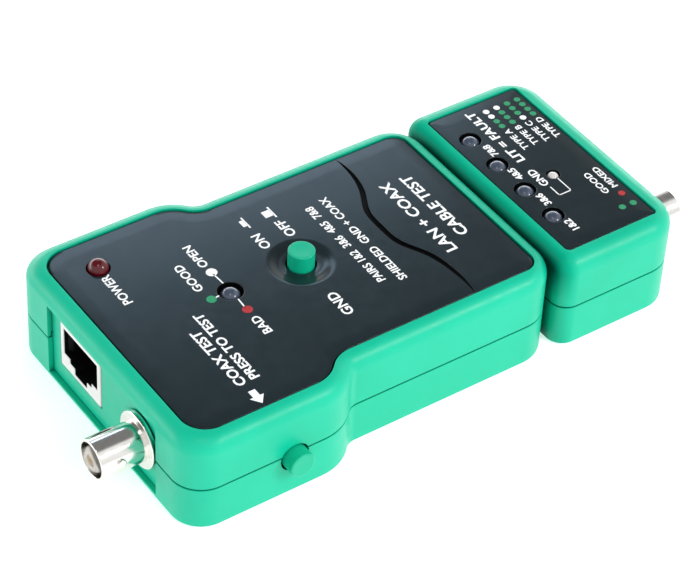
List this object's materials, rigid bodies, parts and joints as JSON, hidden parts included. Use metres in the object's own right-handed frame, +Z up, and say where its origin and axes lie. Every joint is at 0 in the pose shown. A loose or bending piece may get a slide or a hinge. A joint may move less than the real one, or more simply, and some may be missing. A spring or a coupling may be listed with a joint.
{
  "type": "network cable tester",
  "caption": "Hand-held network cable tester: main unit with modular jack, coaxial jack, lamps and push buttons, and a docking remote unit.",
  "frame": {"origin": "middle of the main unit's underside", "axes": "+X is left to right as the face is read, +Y points to the main unit's port end, +Z is up out of the face"},
  "size_m": [0.0769, 0.1585, 0.0281],
  "materials": {
    "green_abs": "fine satin moulded",
    "slate_panel": "smooth satin gloss",
    "red_lens": "clear dark red epoxy",
    "clear_lens": "water-clear epoxy",
    "nickel": "bright nickel plate",
    "pale_plastic": "moulded",
    "gold_contacts": "gold flash",
    "pcb": "solder mask",
    "black_plastic": "moulded",
    "steel": "zinc plate",
    "battery_jacket": "shrink wrap",
    "foam": "open-cell foam",
    "red_wire": "PVC",
    "white_plastic": "moulded"
  },
  "bodies": {
    "main_unit": {"main_top_shell": "green_abs", "main_bottom_shell": "green_abs", "main_panel": "slate_panel", "power_switch_body": "black_plastic", "tact_switch_body": "black_plastic", "power_led": "red_lens", "indicator_led": "clear_lens", "main_rj45_housing": "pale_plastic", "main_rj45_insert": "black_plastic", "main_rj45_contacts": "gold_contacts", "main_bnc_shell": "nickel", "main_bnc_insulator": "pale_plastic", "main_bnc_contact": "gold_contacts", "main_bnc_nut": "nickel", "main_pcb": "pcb", "logic_ic": "black_plastic", "battery_9v": "battery_jacket", "battery_snap": "black_plastic", "battery_foam": "foam", "battery_lead_red": "red_wire", "battery_lead_black": "black_plastic", "main_screw_1": "steel", "main_screw_2": "steel", "main_screw_3": "steel", "main_screw_4": "steel"},
    "power_key": {"power_button": "green_abs", "power_switch_plunger": "white_plastic"},
    "test_key": {"test_button": "green_abs", "tact_switch_plunger": "white_plastic"},
    "door": {"battery_door": "green_abs"},
    "remote_unit": {"remote_top_shell": "green_abs", "remote_bottom_shell": "green_abs", "remote_panel": "slate_panel", "remote_led_1": "clear_lens", "remote_led_2": "clear_lens", "remote_led_3": "clear_lens", "remote_led_4": "clear_lens", "gnd_led": "pale_plastic", "remote_rj45_housing": "pale_plastic", "remote_rj45_insert": "black_plastic", "remote_rj45_contacts": "gold_contacts", "remote_bnc_shell": "nickel", "remote_bnc_insulator": "pale_plastic", "remote_bnc_contact": "gold_contacts", "remote_bnc_nut": "nickel", "remote_pcb": "pcb", "remote_ic": "black_plastic", "remote_screw_1": "steel", "remote_screw_2": "steel"}
  },
  "joints": [
    {"name": "power_press", "type": "slide", "parent": "main_unit", "child": "power_key", "axis": [0, 0, -1], "range_m": [0, 0.0022]},
    {"name": "test_press", "type": "slide", "parent": "main_unit", "child": "test_key", "axis": [1, 0, 0], "range_m": [0, 0.0012]},
    {"name": "door_slide", "type": "slide", "parent": "main_unit", "child": "door", "axis": [1, 0, 0], "range_m": [0, 0.062]},
    {"name": "undock", "type": "slide", "parent": "main_unit", "child": "remote_unit", "axis": [0, 0, 1], "range_m": [0, 0.03]}
  ]
}
